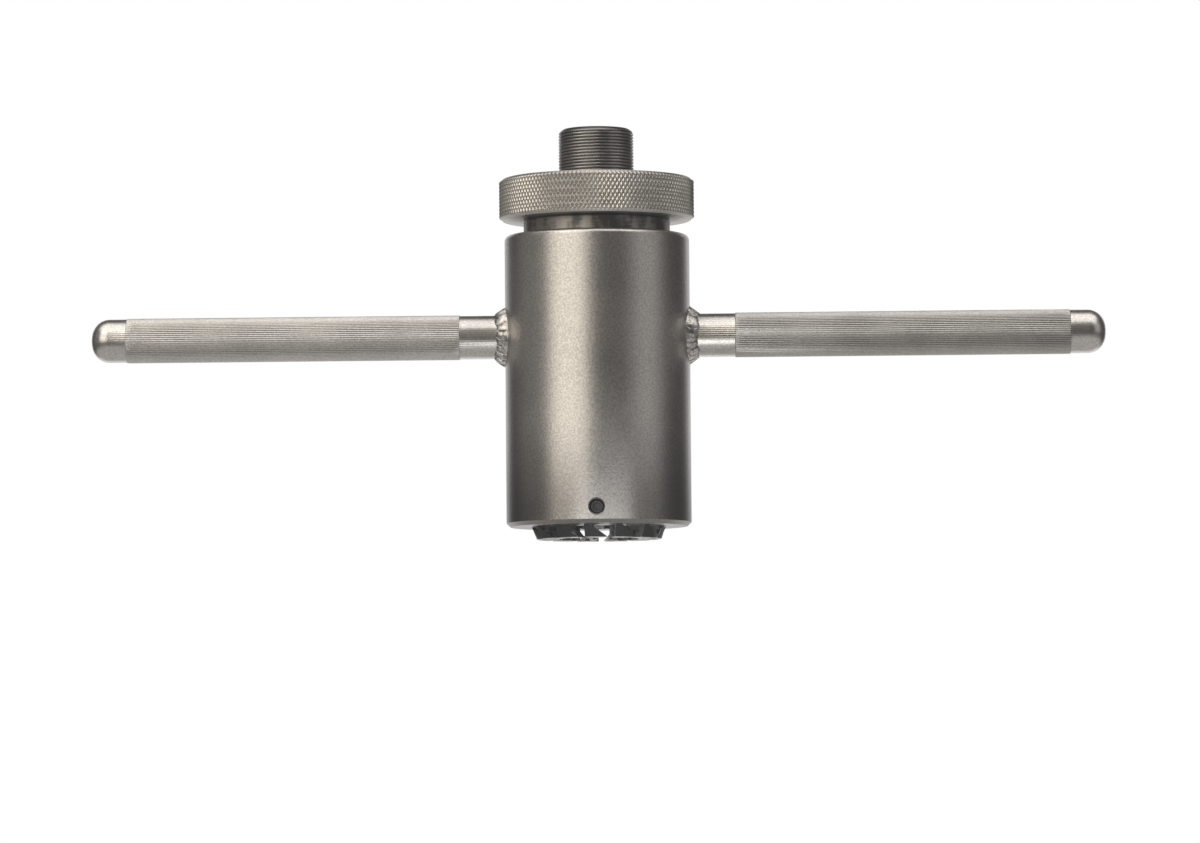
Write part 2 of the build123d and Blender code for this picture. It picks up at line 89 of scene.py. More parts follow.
# Spindle
PITCH = 25.4 / 24
THREAD_DEPTH = 0.42 * PITCH  # the crests are worn and the roots are full of grease
THREAD_LOW = 90.0
NOSE_R = 10.9
BOLT_HOLE_R = 3.3
HEAD_HOLE_R = 6.0
HEAD_HOLE_DEPTH = 10.0
TOP_CHAMFER = 1.6
KEYWAY_HALF = 1.6
KEYWAY_FLOOR = 11.3

# Spring
WIRE_R = 2.2
END_TURNS = 1.0
SPRING_TURNS = 6.0


def size(node):
    """Lowest and highest corner of a CAD node in millimetres."""
    low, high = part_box(node)
    return low / MM, high / MM


# ---------------------------------------------------------------- mesh helpers


def piece(name, points, faces, node, body, sharp=35):
    """A finished object from points in millimetres that stands for a CAD node and rides on a body."""
    mesh = bpy.data.meshes.new(name)
    mesh.from_pydata([tuple(p * MM for p in point) for point in points], [], faces)
    mesh.validate()
    shaper = bmesh.new()
    shaper.from_mesh(mesh)
    bmesh.ops.recalc_face_normals(shaper, faces=shaper.faces)
    shaper.to_mesh(mesh)
    shaper.free()
    mesh.polygons.foreach_set("use_smooth", [True] * len(mesh.polygons))
    mesh.set_sharp_from_angle(angle=math.radians(sharp))
    thing = bpy.data.objects.new(name, mesh)
    bpy.context.scene.collection.objects.link(thing)
    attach(thing, body)
    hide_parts(node)
    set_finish(thing, SLOTS[node])
    return thing


def grid(rows, columns, start=0, closed=False):
    """Faces between rows of points that each close on themselves; closed also joins the last row to the first."""
    faces = []
    for r in range(rows if closed else rows - 1):
        above = (r + 1) % rows
        for c in range(columns):
            right = (c + 1) % columns
            corners = (r * columns + c, r * columns + right, above * columns + right, above * columns + c)
            faces.append(tuple(start + corner for corner in corners))
    return faces


def capped(rows, columns):
    """Faces of a tube that is closed by a fan at each end. The two end points come after the rows."""
    first, last, top = rows * columns, rows * columns + 1, (rows - 1) * columns
    faces = grid(rows, columns)
    for c in range(columns):
        right = (c + 1) % columns
        faces.append((first, right, c))
        faces.append((last, top + c, top + right))
    return faces


def tri(value):
    """A triangle wave of period 1 that is 0 in the middle of a groove and 1 on a crest."""
    return 1 - abs(1 - 2 * (value - math.floor(value)))


def clamp(value):
    return min(1.0, max(0.0, value))


def patch(x, y, z, scale):
    """Smooth noise from -1 to 1."""
    return noise.noise(Vector((x, y, z)) * scale)


# ---------------------------------------------------------------- handles


def handle(side, node):
    """Bar with a straight knurl whose ridges run along it, plain ends and a domed tip."""
    low, high = size(node)
    centre_z, bar_r = (low.z + high.z) / 2, (high.z - low.z) / 2
    inner, tip = sorted((abs(low.x), abs(high.x)))
    per_ridge, steps, dome_steps, dome = 8, 60, 18, 6.2
    columns = RIDGES * per_ridge
    plain_r = bar_r - GRIP_STEP
    grip_end = tip - TIP_LENGTH
    run_out = 0.18

    def grooved(x, angle):
        """Depth of the groove at a point of the knurl: sharp valleys, and flat crests that are worn in places."""
        wear = 0.92 + 0.12 * patch(x, 7 * math.cos(angle) + 40 * side, 7 * math.sin(angle), 0.05)
        crest = clamp(1.2 * tri((angle / TURN) * RIDGES + 0.5))
        return RIDGE_DEPTH * wear * (0.5 + 0.5 * math.cos(math.pi * crest))

    stations = [(inner, plain_r - 0.4, False), (inner + 0.4, plain_r, False), (GRIP_START, plain_r, False)]
    for i in range(steps + 1):
        x = GRIP_START + run_out + (grip_end - GRIP_START - 2 * run_out) * i / steps
        stations.append((x, bar_r, True))
    stations += [(grip_end, plain_r, False)]
    for i in range(dome_steps):
        turn = math.radians(90 * i / (dome_steps - 0.5))
        stations.append((tip - dome + dome * math.sin(turn), plain_r * math.cos(turn) ** 0.85, False))
    points = []
    for x, radius, knurled in stations:
        for c in range(columns):
            angle = TURN * c / columns
            reach = radius - (grooved(x, angle) if knurled else 0)
            points.append((side * x, reach * math.cos(angle), centre_z + reach * math.sin(angle)))
    points += [(side * inner, 0, centre_z), (side * tip, 0, centre_z)]
    return piece(node + "_bar", points, capped(len(stations), columns), node, "body", 28)


# ---------------------------------------------------------------- weld beads


def weld_beads():
    """A ring of overlapping weld ripples round each handle, lying on the bar and on the round body."""
    low, high = size("handle_left")
    centre_z, bar_r = (low.z + high.z) / 2, (high.z - low.z) / 2
    wall = size("main_body")[1].x
    columns, rows = 400, 22
    leg, run, sunk = 2.7, 3.6, 0.3
    points, faces = [], []
    for side, ripples, relief in ((-1, 19, 0.55), (1, 23, 0.30)):
        faces += grid(columns, rows, len(points), closed=True)
        for c in range(columns):
            angle = TURN * c / columns
            across, up = math.cos(angle), math.sin(angle)
            lump = patch(2 * across + 9 * side, 2 * up, 0.0, 0.8) + 0.8 * patch(6 * across, 6 * up, 3.0 * side, 0.9)
            foot_r = bar_r + leg * (0.45 + 0.55 * up**2) * (1 + 0.22 * lump)
            toe_x = math.sqrt(wall**2 - (bar_r * across) ** 2) + run * (1 + 0.2 * lump)
            foot_x = math.sqrt(wall**2 - (foot_r * across) ** 2)
            for r in range(rows - 2):
                share = r / (rows - 3)
                bow = math.sin(math.pi * share)
                uneven = 0.35 * math.sin(2 * angle + side) + 0.6 * lump
                scale = ripples * angle / TURN + 0.42 * (2 * share - 1) ** 2 + 0.35 * uneven
                scale -= math.floor(scale)
                swell = bow * (0.3 * lump - 0.25) + relief * bow**0.5 * (1 - scale) ** 0.7
                x = toe_x + (foot_x - toe_x) * share + 0.62 * swell - sunk * share**6
                reach = bar_r + (foot_r - bar_r) * share + 0.78 * swell - sunk * (1 - share) ** 6
                points.append((side * x, reach * across, centre_z + reach * up))
            for x, reach in ((foot_x - 1.0, foot_r - 0.6), (foot_x - 0.6, bar_r - 0.6)):
                points.append((side * x, reach * across, centre_z + reach * up))
    return piece("weld_beads", points, faces, "handle_welds", "body", 70)


# ---------------------------------------------------------------- knurled knob


def knob():
    """Disc nut with a diamond knurl between two narrow plain chamfers."""
    low, high = size("knurled_knob")
    outer, bottom, top = high.x, low.z, high.z
    per_diamond, rows = 10, 52
    columns = DIAMONDS * per_diamond
    width = TURN * outer / DIAMONDS
    tall = width * math.sqrt(3)
    bevel = 0.55

    def knurl(angle, z):
        """Depth of the two crossing families of grooves at a point."""
        across, up = angle * outer / width, (z - bottom) / tall
        grooves = min(tri(across + up), tri(across - up))
        wear = 0.88 + 0.25 * patch(outer * math.cos(angle), outer * math.sin(angle), z, 0.12)
        return DIAMOND_DEPTH * wear * (1 - clamp(1.2 * grooves))

    rings = [(KNOB_BORE_R + 0.5, bottom, False), (outer - 2.2, bottom, False)]
    rings += [(outer - KNOB_EDGE - 0.25, bottom, False), (outer - bevel, bottom + KNOB_EDGE - 0.35, False)]
    for i in range(rows + 1):
        rings.append((outer, bottom + KNOB_EDGE + (top - bottom - 2 * KNOB_EDGE) * i / rows, True))
    rings += [(outer - bevel, top - KNOB_EDGE + 0.35, False), (outer - KNOB_EDGE - 0.25, top, False)]
    rings += [(outer - 2.2, top, False), (KNOB_BORE_R + 0.9, top, False), (KNOB_BORE_R, top - 0.9, False)]
    rings += [(KNOB_BORE_R, bottom + 0.5, False)]
    points = []
    for radius, z, knurled in rings:
        for c in range(columns):
            angle = TURN * c / columns
            reach = radius - (knurl(angle, z) if knurled else 0)
            points.append((reach * math.cos(angle), reach * math.sin(angle), z))
    faces = grid(len(rings), columns, closed=True)
    return piece("knurled_knob_nut", points, faces, "knurled_knob", "knob", 24)


# ---------------------------------------------------------------- threaded spindle


def spindle():
    """Hollow stud with a true helical thread, a keyway down its back and a plain nose below."""
    low, high = size("threaded_spindle")
    crest, top, bottom = high.x, high.z, low.z
    arc_columns, rows_per_turn = 170, 10
    open_angle = math.asin(KEYWAY_HALF / crest)
    columns = arc_columns + 4

    def thread_r(angle, z):
        """Radius of the thread at a point: rounded crest and root, V flanks, and a chamfer at the top."""
        share = tri(z / PITCH - angle / TURN)
        rise = clamp((share - 0.06) / 0.74)
        reach = crest - THREAD_DEPTH * (1 - rise * rise * (3 - 2 * rise))
        limit = crest - TOP_CHAMFER * clamp(1 - (top - z) / TOP_CHAMFER) ** 1.6
        return min(reach, limit)

    def row(radius_at, z, slot):
        """Points round the stud from one side of the keyway to the other, then along the keyway's floor."""
        angles = [math.pi / 2 + open_angle + (TURN - 2 * open_angle) * i / (arc_columns - 1) for i in range(arc_columns)]
        out = [(radius_at(a, z) * math.cos(a), radius_at(a, z) * math.sin(a), z) for a in angles]
        half = KEYWAY_HALF if slot else out[-1][0]
        for share in (1, 0.34, -0.34, -1):
            x = half * share
            out.append((x, KEYWAY_FLOOR if slot else math.sqrt(radius_at(0, z) ** 2 - x**2), z))
        return out

    steps = int((top - THREAD_LOW) / PITCH * rows_per_turn)
    rows = [row(thread_r, THREAD_LOW + (top - THREAD_LOW) * i / steps, True) for i in range(steps + 1)]
    head_z = top - HEAD_HOLE_DEPTH
    plain = [(HEAD_HOLE_R + 0.5, top), (HEAD_HOLE_R, top - 0.5), (HEAD_HOLE_R, head_z), (BOLT_HOLE_R, head_z)]
    plain += [(BOLT_HOLE_R, bottom), (NOSE_R - 0.5, bottom), (NOSE_R, bottom + 0.5), (NOSE_R, THREAD_LOW)]
    rows += [row(lambda angle, height, radius=radius: radius, z, False) for radius, z in plain]
    points = [point for one in rows for point in one]
    faces = grid(len(rows), columns, closed=True)
    return piece("threaded_stud", points, faces, "threaded_spindle", "spindle", 30)


# ---------------------------------------------------------------- spring


def spring():
    """Compression spring with closed ends that are ground flat."""
    low, high = size("pressure_spring")
    bottom, top = size("spring_seat")[0].z + 2.5, 92.0
    coil_r = high.x - WIRE_R
    per_turn, columns = 48, 20
    lift = 0.3 * WIRE_R
    rows = int(SPRING_TURNS * per_turn)
    free = (top - bottom - 2 * lift - 2 * END_TURNS * 2.05 * WIRE_R) / (SPRING_TURNS - 2 * END_TURNS)

    def height(turns):
        """Height of the wire's centre: close coils at each end and an even pitch between them."""
        closed = min(turns, END_TURNS) + max(0.0, turns - SPRING_TURNS + END_TURNS)
        active = min(max(turns - END_TURNS, 0.0), SPRING_TURNS - 2 * END_TURNS)
        return bottom + lift + closed * 2.05 * WIRE_R + active * free

    points = []
    for r in range(rows + 1):
        turn = TURN * r / per_turn
        for c in range(columns):
            angle = TURN * c / columns
            reach = coil_r + WIRE_R * math.cos(angle)
            z = min(top, max(bottom, height(r / per_turn) + WIRE_R * math.sin(angle)))
            points.append((reach * math.cos(turn), reach * math.sin(turn), z))
    ends = ((0, 0.0), (rows, SPRING_TURNS))
    for r, turns in ends:
        turn = TURN * r / per_turn
        points.append((coil_r * math.cos(turn), coil_r * math.sin(turn), min(top, max(bottom, height(turns)))))
    thing = piece("pressure_spring_coil", points, capped(rows + 1, columns), "pressure_spring", "carriage", 50)
    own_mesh(thing)
    return thing


# ---------------------------------------------------------------- node helpers


class Graph:
    """Builds a node tree. Calls return the socket that they make, and take sockets or plain values."""

    def __init__(self, tree):
        self.tree = tree
        tree.nodes.clear()

    def node(self, kind, **settings):
        made = self.tree.nodes.new(kind)
        for key, value in settings.items():
            setattr(made, key, value)
        return made

    def feed(self, socket, value):
        if isinstance(value, bpy.types.NodeSocket):
            self.tree.links.new(value, socket)
        else:
            socket.default_value = value

    def math(self, operation, *values):
        made = self.node("ShaderNodeMath", operation=operation)
        for socket, value in zip(made.inputs, values):
            self.feed(socket, value)
        return made.outputs[0]

    def step(self, value, low, high):
        """0 below low, 1 above high, and smooth between them."""
        made = self.node("ShaderNodeMapRange", interpolation_type="SMOOTHSTEP")
        self.feed(made.inputs["Value"], value)
        made.inputs["From Min"].default_value = low
        made.inputs["From Max"].default_value = high
        return made.outputs["Result"]

    def window(self, value, low, high, soft):
        """1 between low and high, fading over soft on each side."""
        enter = self.step(value, low - soft, low + soft)
        leave = self.step(value, high - soft, high + soft)
        return self.math("MULTIPLY", enter, self.math("SUBTRACT", 1.0, leave))

    def blend(self, factor, first, second):
        """Mix of two colours."""
        made = self.node("ShaderNodeMix", data_type="RGBA")
        self.feed(made.inputs["Factor"], factor)
        self.feed(made.inputs["A"], first)
        self.feed(made.inputs["B"], second)
        return made.outputs["Result"]


def colour(r, g, b):
    return (r, g, b, 1.0)


def scaled(tone, factor):
    return colour(*(channel * factor for channel in tone))


# ---------------------------------------------------------------- materials


class Paint(Graph):
    """One node material with a principled surface."""

    def __init__(self, name):
        self.material = bpy.data.materials.new(name)
        self.material.use_nodes = True
        super().__init__(self.material.node_tree)
        self.surface = self.node("ShaderNodeBsdfPrincipled")
        self.output = self.node("ShaderNodeOutputMaterial")
        self.feed(self.output.inputs["Surface"], self.surface.outputs["BSDF"])
        self.place = self.node("ShaderNodeTexCoord").outputs["Object"]

    def set(self, **values):
        """Feeds inputs of the surface, with underscores for spaces."""
        for key, value in values.items():
            self.feed(self.surface.inputs[key.replace("_", " ")], value)

    def noise(self, grain, detail=2.0, stretch=(1, 1, 1)):
        """Noise with features about grain millimetres across; a stretch below 1 lengthens them along that axis."""
        mapping = self.node("ShaderNodeMapping")
        mapping.inputs["Scale"].default_value = stretch
        self.feed(mapping.inputs["Vector"], self.place)
        made = self.node("ShaderNodeTexNoise")
        made.inputs["Scale"].default_value = 1 / (grain * MM)
        made.inputs["Detail"].default_value = detail
        self.feed(made.inputs["Vector"], mapping.outputs[0])
        return made.outputs["Fac"]

    def bump(self, height, depth, below=None):
        """Bump whose height of 0 to 1 stands for depth in millimetres."""
        made = self.node("ShaderNodeBump")
        made.inputs["Distance"].default_value = depth * MM
        self.feed(made.inputs["Height"], height)
        if below:
            self.feed(made.inputs["Normal"], below)
        return made.outputs["Normal"]

    def rounded(self, radius):
        """A normal that softens edges by radius millimetres."""
        made = self.node("ShaderNodeBevel", samples=4)
        made.inputs["Radius"].default_value = radius * MM
        return made.outputs["Normal"]


def metal(name, tone, spread, rough, grain, depth, blotch, stretch=(1, 1, 1), edge=0.0, speckle=0.5, tone_kept=None):
    """Plated or bare metal: a tone that varies by spread in fine grain and slow patches, and a grainy bump.

    speckle is the fine grain's share of the tone. The last argument is a function of the paint that returns how much
    of the tone is left, from 0 to 1; the rest is blended to a dark colour, which is painted shade in the knurl and
    thread valleys and low on the body, and darker pits and toes on the welds.
    """
    paint = Paint(name)
    fine = paint.noise(grain, 2, stretch)
    slow = paint.noise(blotch, 4)
    mixed = paint.math("ADD", paint.math("MULTIPLY", fine, speckle), paint.math("MULTIPLY", slow, 1 - speckle))
    varied = paint.step(mixed, 0.36, 0.64)
    tint = paint.blend(varied, scaled(tone, 1 - spread), scaled(tone, 1 + spread))
    # Painted shade in the knurl and thread valleys and low on the body, and darker weld pits and toes, darken the tone
    # here.
    if tone_kept:
        tint = paint.blend(tone_kept(paint), colour(*SHADE_AND_GRIME), tint)
    paint.set(Base_Color=tint)
    uneven = paint.math("ADD", rough * 0.85, paint.math("MULTIPLY", slow, rough * 0.3))
    paint.set(Roughness=uneven, Metallic=1.0)
    paint.set(Normal=paint.bump(fine, depth, paint.rounded(edge) if edge else None))
    return paint.material


def grip_valley_shade(paint):
    """Share of the tone left on the handles' knurl: painted shade in the valleys, and the whole right grip darker."""
    split = paint.node("ShaderNodeSeparateXYZ")
    paint.feed(split.inputs[0], paint.place)
    x, y, z = (split.outputs[axis] for axis in "XYZ")
    up = paint.math("SUBTRACT", z, HANDLE_Z * MM)
    reach = paint.math("SQRT", paint.math("ADD", paint.math("MULTIPLY", y, y), paint.math("MULTIPLY", up, up)))
    crest = paint.step(reach, (BAR_R - 0.9 * RIDGE_DEPTH) * MM, (BAR_R - 0.1 * RIDGE_DEPTH) * MM)
    left = paint.math("SUBTRACT", 1.0, paint.step(x, 0.0, 0.01 * MM))
    kept = paint.math("ADD", 0.54, paint.math("MULTIPLY", left, 0.26))
    out = paint.math("ABSOLUTE", x)
    plain = paint.math("SUBTRACT", 1.0, paint.window(out, GRIP_START * MM, (BAR_TIP - TIP_LENGTH) * MM, 0.05 * MM))
    top = paint.math("ADD", 0.84, paint.math("MULTIPLY", left, 0.16))
    knurled = paint.math("ADD", kept, paint.math("MULTIPLY", crest, paint.math("SUBTRACT", top, kept)))
    return paint.math("MAXIMUM", plain, knurled)


def round_valley_shade(crest_r, depth, kept):
    """Share of the tone left on a knurled or threaded round part: painted shade at the bottom of its valleys."""

    def share(paint):
        split = paint.node("ShaderNodeSeparateXYZ")
        paint.feed(split.inputs[0], paint.place)
        x, y = split.outputs["X"], split.outputs["Y"]
        reach = paint.math("SQRT", paint.math("ADD", paint.math("MULTIPLY", x, x), paint.math("MULTIPLY", y, y)))
        crest = paint.step(reach, (crest_r - depth) * MM, (crest_r - 0.15 * depth) * MM)
        return paint.math("ADD", kept, paint.math("MULTIPLY", crest, 1 - kept))

    return share


def weld_toes(paint):
    """Share of the tone left on the welds: darker in pits and along the outer toe, where the bar begins."""
    split = paint.node("ShaderNodeSeparateXYZ")
    paint.feed(split.inputs[0], paint.place)
    x, y, z = (split.outputs[axis] for axis in "XYZ")
    up = paint.math("SUBTRACT", z, HANDLE_Z * MM)
    reach = paint.math("SQRT", paint.math("ADD", paint.math("MULTIPLY", y, y), paint.math("MULTIPLY", up, up)))
    proud = paint.step(reach, (BAR_R + 0.05) * MM, (BAR_R + 0.45) * MM)
    pits = paint.step(paint.noise(1.3, 3), 0.38, 0.52)
    return paint.math("ADD", 0.5, paint.math("MULTIPLY", paint.math("MULTIPLY", proud, pits), 0.5))


def low_body_shade(paint):
    """Share of the tone left on the body: painted shade, darker towards the cutter, that stands in for dark
    reflections there.
    """
    split = paint.node("ShaderNodeSeparateXYZ")
    paint.feed(split.inputs[0], paint.place)
    return paint.math("ADD", 0.4, paint.math("MULTIPLY", paint.step(split.outputs["Z"], 8 * MM, 40 * MM), 0.6))


def turned(name, tone, rough, smudge):
    """Dark turned steel: fine rings from the lathe and oily smudges that are darker by smudge."""
    paint = Paint(name)
    rings = paint.noise(0.16, 2, (0.02, 0.02, 1))
    smear = paint.noise(5.0, 3, (1, 1, 0.35))
    streak = paint.noise(0.9, 3, (0.15, 0.15, 1))
    mixed = paint.math("ADD", paint.math("MULTIPLY", smear, 0.75), paint.math("MULTIPLY", streak, 0.25))
    tone_kept = paint.step(mixed, 0.40, 0.56)
    paint.set(Base_Color=paint.blend(tone_kept, scaled(tone, smudge), scaled(tone, 1.1)), Metallic=1.0)
    paint.set(Roughness=paint.math("ADD", rough, paint.math("MULTIPLY", tone_kept, -0.06)))
    paint.set(Normal=paint.bump(rings, 0.006, paint.rounded(0.2)))
    return paint.material


def cutter_steel(name):
    """Black oxide outside, with the teeth's ground flanks, lands and bore left as bare grey steel."""
    paint = Paint(name)
    geometry = paint.node("ShaderNodeNewGeometry")
    split = paint.node("ShaderNodeSeparateXYZ")
    paint.feed(split.inputs[0], paint.place)
    spoke = paint.node("ShaderNodeCombineXYZ")
    paint.feed(spoke.inputs["X"], split.outputs["X"])
    paint.feed(spoke.inputs["Y"], split.outputs["Y"])
    unit = paint.node("ShaderNodeVectorMath", operation="NORMALIZE")
    paint.feed(unit.inputs[0], spoke.outputs[0])
    facing = paint.node("ShaderNodeVectorMath", operation="DOT_PRODUCT")
    paint.feed(facing.inputs[0], unit.outputs[0])
    paint.feed(facing.inputs[1], geometry.outputs["True Normal"])
    turned_away = paint.math("SUBTRACT", 1.0, paint.step(facing.outputs["Value"], 0.55, 0.75))
    below = paint.math("SUBTRACT", 1.0, paint.step(split.outputs["Z"], 6.0 * MM, 6.3 * MM))
    worn = paint.math("MULTIPLY", paint.step(paint.noise(2.4, 2), 0.40, 0.52), 0.7)
    level = paint.node("ShaderNodeSeparateXYZ")
    paint.feed(level.inputs[0], geometry.outputs["True Normal"])
    land = paint.math("MULTIPLY", paint.step(paint.math("MULTIPLY", level.outputs["Z"], -1.0), 0.85, 0.95), 0.35)
    bare = paint.math("MULTIPLY", paint.math("MULTIPLY", turned_away, below), paint.math("MAXIMUM", worn, land))
    fine = paint.noise(0.5, 3)
    black = paint.blend(fine, colour(0.010, 0.010, 0.011), colour(0.030, 0.029, 0.031))
    grey = paint.blend(fine, colour(0.48, 0.475, 0.46), colour(0.66, 0.65, 0.63))
    paint.set(Base_Color=paint.blend(bare, black, grey), Metallic=paint.math("ADD", 0.35, paint.math("MULTIPLY", bare, 0.65)))
    paint.set(Roughness=paint.math("SUBTRACT", 0.5, paint.math("MULTIPLY", bare, 0.26)))
    paint.set(Normal=paint.bump(fine, 0.01, paint.rounded(0.18)))
    return paint.material


def rubber(name):
    """Moulded black rubber with a dull, slightly mottled skin."""
    paint = Paint(name)
    fine = paint.noise(1.1, 4)
    paint.set(Base_Color=paint.blend(fine, colour(0.012, 0.012, 0.012), colour(0.03, 0.03, 0.03)), Roughness=0.62)
    paint.set(Normal=paint.bump(fine, 0.02))
    return paint.material


# Dark colour for painted shade in the knurl and thread valleys and low on the body, and for darker pits and toes on
# the welds.
SHADE_AND_GRIME = (0.035, 0.032, 0.028)
HANDLE_BOX = size("handle_right")
HANDLE_Z, BAR_R = (HANDLE_BOX[0].z + HANDLE_BOX[1].z) / 2, (HANDLE_BOX[1].z - HANDLE_BOX[0].z) / 2
BAR_TIP = HANDLE_BOX[1].x
KNOB_R, STUD_R = size("knurled_knob")[1].x, size("threaded_spindle")[1].x

FINISHES = {
    # The body's lower part is darkened by painted shade.
    "satin_nickel": metal(
        "satin_nickel", (0.52, 0.50, 0.475), 0.17, 0.33, 0.62, 0.040, 22, speckle=0.75, tone_kept=low_body_shade
    ),
    # Painted shade in the grips' knurl valleys, and the right grip darker.
    "grip_nickel": metal(
        "grip_nickel", (0.57, 0.55, 0.52), 0.15, 0.31, 0.6, 0.016, 14, speckle=0.7, tone_kept=grip_valley_shade
    ),
    "weld_bead": metal("weld_nickel", (0.52, 0.505, 0.48), 0.22, 0.34, 0.7, 0.060, 3, speckle=0.6, tone_kept=weld_toes),
    # Painted shade in the knob's knurl valleys.
    "knob_nickel": metal(
        "knob_nickel", (0.60, 0.575, 0.525), 0.10, 0.40, 0.5, 0.010, 9, tone_kept=round_valley_shade(KNOB_R, DIAMOND_DEPTH, 0.72)
    ),
    # Painted shade in the thread's roots.
    "thread_steel": metal(
        "thread_steel", (0.39, 0.38, 0.365), 0.12, 0.38, 0.8, 0.006, 6, (0.2, 0.2, 1),
        tone_kept=round_valley_shade(STUD_R, THREAD_DEPTH, 0.25),
    ),
    "turned_steel": turned("turned_steel", (0.335, 0.322, 0.295), 0.50, 0.36),
    "ground_steel": metal("ground_steel", (0.58, 0.58, 0.58), 0.06, 0.2, 0.3, 0.006, 9, (0.05, 0.05, 1), 0.12),
    "spring_steel": metal("spring_steel", (0.10, 0.10, 0.108), 0.3, 0.36, 1.0, 0.008, 8),
    "black_oxide": cutter_steel("black_oxide"),
    "black_screw": metal("black_screw", (0.045, 0.045, 0.047), 0.3, 0.42, 0.8, 0.010, 5, edge=0.1),
    "zinc_fastener": metal("zinc_plate", (0.58, 0.58, 0.59), 0.08, 0.28, 0.6, 0.008, 8, edge=0.1),
    "ball_steel": metal("ball_steel", (0.72, 0.72, 0.73), 0.04, 0.07, 0.8, 0.001, 6),
    "bronze": metal("bronze", (0.47, 0.30, 0.13), 0.2, 0.36, 0.6, 0.012, 7, edge=0.2),
    "cage_brass": metal("cage_brass", (0.62, 0.46, 0.19), 0.12, 0.26, 0.6, 0.008, 8, edge=0.12),
    "black_rubber": rubber("black_rubber"),
}
SLOTS = {part["node"]: part["material_slot"] for part in frame["record"]["subparts"]}


def finish_all(made):
    """Puts each slot's material on the CAD nodes that are kept and on the pieces that stand for the others."""
    for name, thing in frame["nodes"].items():
        thing.data.materials.clear()
        thing.data.materials.append(FINISHES[SLOTS[name]])
    for thing in made:
        thing.data.materials.append(FINISHES[thing["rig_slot"]])


# ---------------------------------------------------------------- studio and camera

# Soft boxes and cards as seen from the tool. Angles are in degrees. For "around" the first pair is the bearing
# from the camera towards +X and the second the elevation; for "over" the first pair runs from the camera up over
# the tool and the second is the lean towards +X. Each pair ends with how softly the box fades.
LIGHTS = [
    ("around", (-60, -12, 6), (-3, 52, 5), (1.0, 0.93, 0.83), 1.90),  # tall soft box, front left
    ("around", (-112, -66, 12), (-8, 45, 8), (1.0, 0.96, 0.90), 0.14),  # spill beside it
    ("over", (48, 104, 5), (-42, 42, 8), (1.0, 0.98, 0.95), 1.70),  # overhead box
    ("around", (46, 86, 13), (-6, 45, 8), (1.0, 0.98, 0.96), 0.44),  # weak fill, right
    ("around", (-200, 200, 8), (-95, -25, 10), (1.0, 0.985, 0.965), 0.48),  # light from the table
    ("behind", (-33, 32, 8), (-40, 26, 8), (1.0, 1.0, 1.0), 0.85),  # lit backdrop
]
ROOM = (0.055, 0.050, 0.050)  # what fills the gaps between the lights


BLACK_LIFT = -0.022  # the lens's haze: nothing comes out quite black
BACKDROP = colour(1.0, 1.0, 1.0)  # what the camera sees behind the tool


def world():
    """White to the camera, and a dark room with soft boxes to everything else."""
    setting = bpy.data.worlds.new("studio")
    bpy.context.scene.world = setting
    setting.use_nodes = True
    graph = Graph(setting.node_tree)
    way = graph.node("ShaderNodeSeparateXYZ")
    graph.feed(way.inputs[0], graph.node("ShaderNodeTexCoord").outputs["Generated"])
    x, y, z = (way.outputs[axis] for axis in "XYZ")
    front = graph.math("MULTIPLY", y, -1.0)

    def degrees(value):
        return graph.math("DEGREES", value)

    angles = {
        "around": (degrees(graph.math("ARCTAN2", x, front)), degrees(graph.math("ARCSINE", z))),
        "behind": (degrees(graph.math("ARCTAN2", x, y)), degrees(graph.math("ARCSINE", z))),
        "over": (degrees(graph.math("ARCTAN2", z, front)), degrees(graph.math("ARCSINE", x))),
    }
    total = graph.node("ShaderNodeCombineXYZ")
    for socket, level in zip(total.inputs, ROOM):
        socket.default_value = level
    light = total.outputs[0]
    for kind, first, second, tint, strength in LIGHTS:
        turn, rise = angles[kind]
        inside = graph.math("MULTIPLY", graph.window(turn, *first), graph.window(rise, *second))
        glow = graph.node("ShaderNodeVectorMath", operation="MULTIPLY_ADD")
        glow.inputs[1].default_value = tuple(channel * strength for channel in tint)
        graph.feed(glow.inputs[0], inside)
        graph.feed(glow.inputs[2], light)
        light = glow.outputs[0]
    room = graph.node("ShaderNodeBackground")
    graph.feed(room.inputs["Color"], light)
    seen = graph.node("ShaderNodeBackground")
    seen.inputs["Color"].default_value = BACKDROP
    chosen = graph.node("ShaderNodeMixShader")
    graph.feed(chosen.inputs[0], graph.node("ShaderNodeLightPath").outputs["Is Camera Ray"])
    graph.feed(chosen.inputs[1], room.outputs[0])
    graph.feed(chosen.inputs[2], seen.outputs[0])
    graph.feed(graph.node("ShaderNodeOutputWorld").inputs["Surface"], chosen.outputs[0])


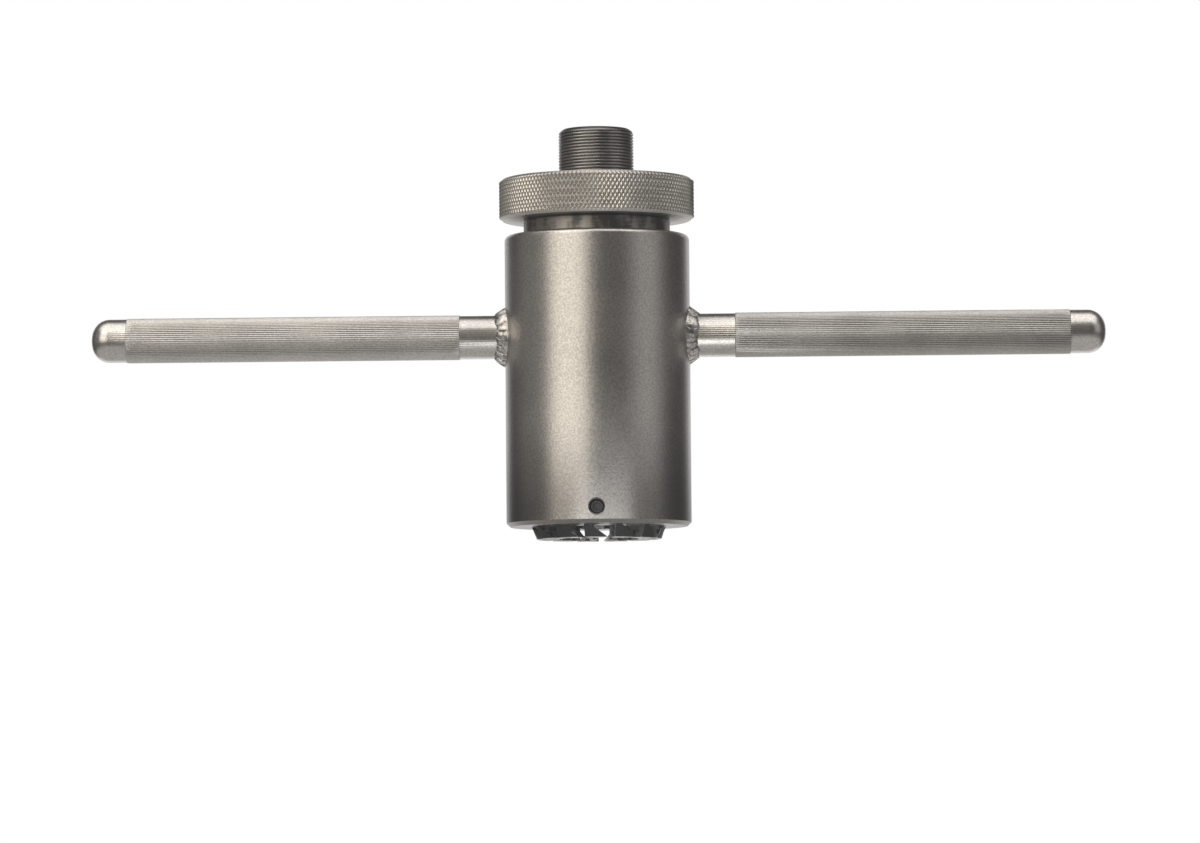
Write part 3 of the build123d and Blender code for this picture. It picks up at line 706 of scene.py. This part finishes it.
def floor():
    """Pale floor with a soft contact shadow that fades into the white backdrop.

    Only the camera sees it, and only from above: the metal mirrors the lights instead, and the photographer's view
    comes from just below the cutter.
    """
    reach = 4.0
    mesh = bpy.data.meshes.new("floor")
    mesh.from_pydata([(-reach, -reach, 0), (reach, -reach, 0), (reach, reach, 0), (-reach, reach, 0)], [], [(0, 1, 2, 3)])
    thing = bpy.data.objects.new("floor", mesh)
    bpy.context.scene.collection.objects.link(thing)
    paint = Paint("pale_floor")
    tint = paint.blend(paint.noise(160, 2), colour(0.82, 0.82, 0.815), colour(0.86, 0.86, 0.855))
    paint.set(Base_Color=tint, Roughness=0.9, Specular_IOR_Level=0.0)
    paint.set(Emission_Color=colour(1, 1, 1), Emission_Strength=0.30)
    far = paint.node("ShaderNodeEmission")
    far.inputs["Color"].default_value = BACKDROP
    distance = paint.node("ShaderNodeVectorMath", operation="LENGTH")
    paint.feed(distance.inputs[0], paint.place)
    faded = paint.node("ShaderNodeMixShader")
    paint.feed(faded.inputs[0], paint.step(distance.outputs["Value"], 0.25, 0.9))
    paint.feed(faded.inputs[1], paint.surface.outputs["BSDF"])
    paint.feed(faded.inputs[2], far.outputs[0])
    above = paint.math("SUBTRACT", 1.0, paint.node("ShaderNodeNewGeometry").outputs["Backfacing"])
    seen = paint.math("MULTIPLY", paint.node("ShaderNodeLightPath").outputs["Is Camera Ray"], above)
    chosen = paint.node("ShaderNodeMixShader")
    paint.feed(chosen.inputs[0], seen)
    paint.feed(chosen.inputs[1], paint.node("ShaderNodeBsdfTransparent").outputs[0])
    paint.feed(chosen.inputs[2], faded.outputs[0])
    paint.feed(paint.output.inputs["Surface"], chosen.outputs[0])
    mesh.materials.append(paint.material)


def base_card():
    """Small lit card in front of the cutter, which the lower end of the body mirrors."""
    wide, tall, ahead = 0.106, 0.046, 0.092
    data = bpy.data.lights.new("base_card", "AREA")
    data.shape, data.size, data.size_y = "RECTANGLE", wide, tall
    data.energy = 0.036
    thing = bpy.data.objects.new("base_card", data)
    thing.location = (0.016, -ahead, -0.006)
    thing.rotation_euler = (math.radians(90), 0, 0)
    thing.visible_camera = False
    bpy.context.scene.collection.objects.link(thing)


def camera():
    """A long lens a little below the cutter that looks slightly up and is slightly rolled."""
    away, height, aim_height = 1.830, -0.078, 0.0398
    turn, roll = math.radians(1.5), math.radians(0.47)
    data = bpy.data.cameras.new("camera")
    data.sensor_width, data.lens = 36, 162.8
    data.shift_x = 0.0014
    data.clip_start, data.clip_end = 0.01, 50
    thing = bpy.data.objects.new("camera", data)
    thing.location = (away * math.sin(turn), -away * math.cos(turn), height)
    ahead = (Vector((0, 0, aim_height)) - thing.location).to_track_quat("-Z", "Y")
    thing.rotation_mode = "QUATERNION"
    thing.rotation_quaternion = ahead @ Quaternion((0, 0, 1), -roll)
    bpy.context.scene.collection.objects.link(thing)
    bpy.context.scene.camera = thing
    view = bpy.context.scene.view_settings
    view.view_transform, view.look = "Standard", "None"
    view.use_curve_mapping = True
    view.curve_mapping.black_level = (BLACK_LIFT, BLACK_LIFT, BLACK_LIFT)
    view.curve_mapping.update()


finish_all([handle(-1, "handle_left"), handle(1, "handle_right"), weld_beads(), knob(), spindle(), spring()])
floor()
world()
base_card()
camera()
